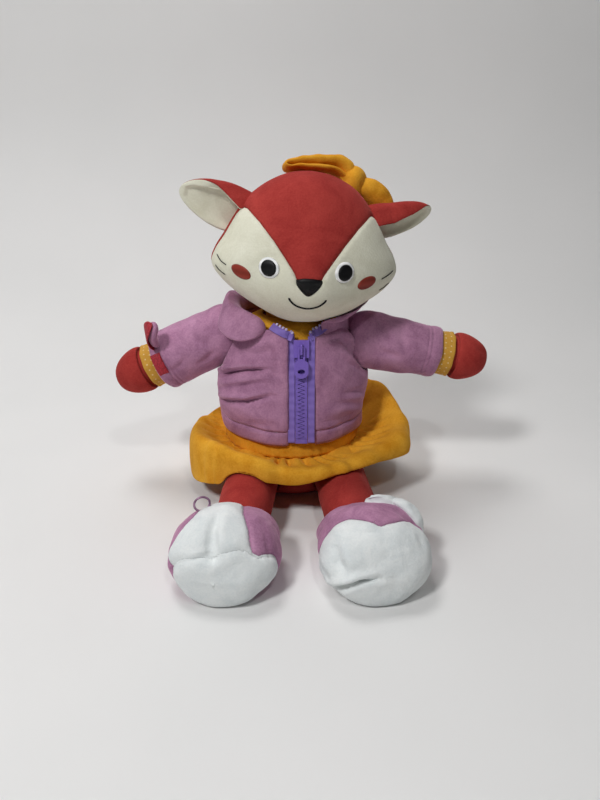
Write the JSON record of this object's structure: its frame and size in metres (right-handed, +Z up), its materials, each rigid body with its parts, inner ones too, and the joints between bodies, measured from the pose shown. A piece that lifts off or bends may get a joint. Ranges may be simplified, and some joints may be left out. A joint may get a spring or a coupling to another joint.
{
  "type": "dressed plush fox doll",
  "caption": "Sitting plush fox doll with stuffed head, body and limbs, in a zip jacket, skirted dress, slip-off stuffed shoes and a hair bow.",
  "frame": {"origin": "on the ground under the middle of the seat, on the body's flat underside", "axes": "+Z up, the face looks along -Y, +X towards the doll's own left arm"},
  "size_m": [0.3, 0.2274, 0.2559],
  "materials": {
    "red": "short-pile red velour over stuffing",
    "cream": "short-pile cream velour",
    "white": "white velour, lightly stuffed",
    "pink": "dusty pink velour",
    "yellow": "golden yellow velour",
    "dotted": "mustard cotton with small cream dots",
    "crimson": "crimson hook-and-loop tape",
    "tape": "woven purple zip tape",
    "teeth": "moulded purple plastic, satin",
    "slider_paint": "purple enamel, satin",
    "black_thread": "dense black embroidery",
    "white_thread": "dense white embroidery",
    "blush_thread": "dense red-brown embroidery",
    "cord": "thin mauve cord"
  },
  "bodies": {
    "body": {"torso": "red", "dress_bodice": "yellow", "skirt": "yellow", "jacket_back": "pink", "jacket_hem_back": "pink", "jacket_front_left": "pink", "jacket_front_right": "pink", "jacket_hem_front_left": "pink", "jacket_hem_front_right": "pink", "collar": "pink", "zip_tape_left": "tape", "zip_tape_right": "tape", "zip_open_tape_left": "tape", "zip_open_tape_right": "tape", "zip_teeth_left": "teeth", "zip_teeth_right": "teeth", "zip_bottom_stop": "teeth"},
    "head": {"head": "red", "face_panel": "cream", "eye_white_left": "white_thread", "eye_white_right": "white_thread", "eye_pupil_left": "black_thread", "eye_pupil_right": "black_thread", "blush_left": "blush_thread", "blush_right": "blush_thread", "nose": "black_thread", "mouth": "black_thread", "ear_back_left": "red", "ear_lining_left": "cream", "ear_back_right": "red", "ear_lining_right": "cream", "bow_knot": "yellow", "bow_loop_left": "yellow", "bow_loop_right": "yellow"},
    "arm_left": {"arm_left": "red", "dress_sleeve_left": "dotted", "jacket_sleeve_left": "pink"},
    "arm_right": {"arm_right": "red", "dress_sleeve_right": "dotted", "jacket_sleeve_right": "pink", "strap_patch": "crimson"},
    "strap": {"sleeve_strap": "pink", "strap_hook_strip": "crimson"},
    "leg_left": {"leg_left": "red"},
    "leg_right": {"leg_right": "red"},
    "shoe_left": {"shoe_toe_cap_left": "white", "shoe_tongue_left": "white", "shoe_quarter_left": "pink", "shoe_tie_left": "white"},
    "shoe_right": {"shoe_toe_cap_right": "white", "shoe_tongue_right": "white", "shoe_quarter_right": "pink", "shoe_loop_right": "cord"},
    "slider": {"zip_slider": "slider_paint"},
    "pull": {"zip_pull": "slider_paint"}
  },
  "joints": [
    {"name": "neck_turn", "type": "hinge", "parent": "body", "child": "head", "pos_m": [0, 0, 0.15], "axis": [0, 0, 1], "range_deg": [-25, 25]},
    {"name": "shoulder_left", "type": "hinge", "parent": "body", "child": "arm_left", "pos_m": [0.056, 0, 0.1215], "axis": [0, -1, 0], "range_deg": [-20, 35]},
    {"name": "shoulder_right", "type": "hinge", "parent": "body", "child": "arm_right", "pos_m": [-0.056, 0, 0.127], "axis": [0, 1, 0], "range_deg": [-20, 35]},
    {"name": "strap_close", "type": "hinge", "parent": "arm_right", "child": "strap", "pos_m": [-0.1114, -0.01436, 0.12196], "axis": [0.4841, -0.8104, 0.33], "range_deg": [0, 110]},
    {"name": "hip_left", "type": "hinge", "parent": "body", "child": "leg_left", "pos_m": [0.033, -0.03, 0.0208], "axis": [0, 0, 1], "range_deg": [-3, 13]},
    {"name": "hip_right", "type": "hinge", "parent": "body", "child": "leg_right", "pos_m": [-0.033, -0.03, 0.0208], "axis": [0, 0, -1], "range_deg": [-3, 13]},
    {"name": "shoe_off_left", "type": "slide", "parent": "leg_left", "child": "shoe_left", "axis": [0.1132, -0.9936, 0], "range_m": [0, 0.075]},
    {"name": "shoe_off_right", "type": "slide", "parent": "leg_right", "child": "shoe_right", "axis": [-0.0819, -0.9966, 0], "range_m": [0, 0.075]},
    {"name": "zip_slide", "type": "slide", "parent": "body", "child": "slider", "axis": [0, -0.1914, -0.9815], "range_m": [0, 0.056]},
    {"name": "zip_pull_swing", "type": "hinge", "parent": "slider", "child": "pull", "pos_m": [0.004, -0.04433, 0.12962], "axis": [-1, 0, 0], "range_deg": [0, 120]}
  ]
}
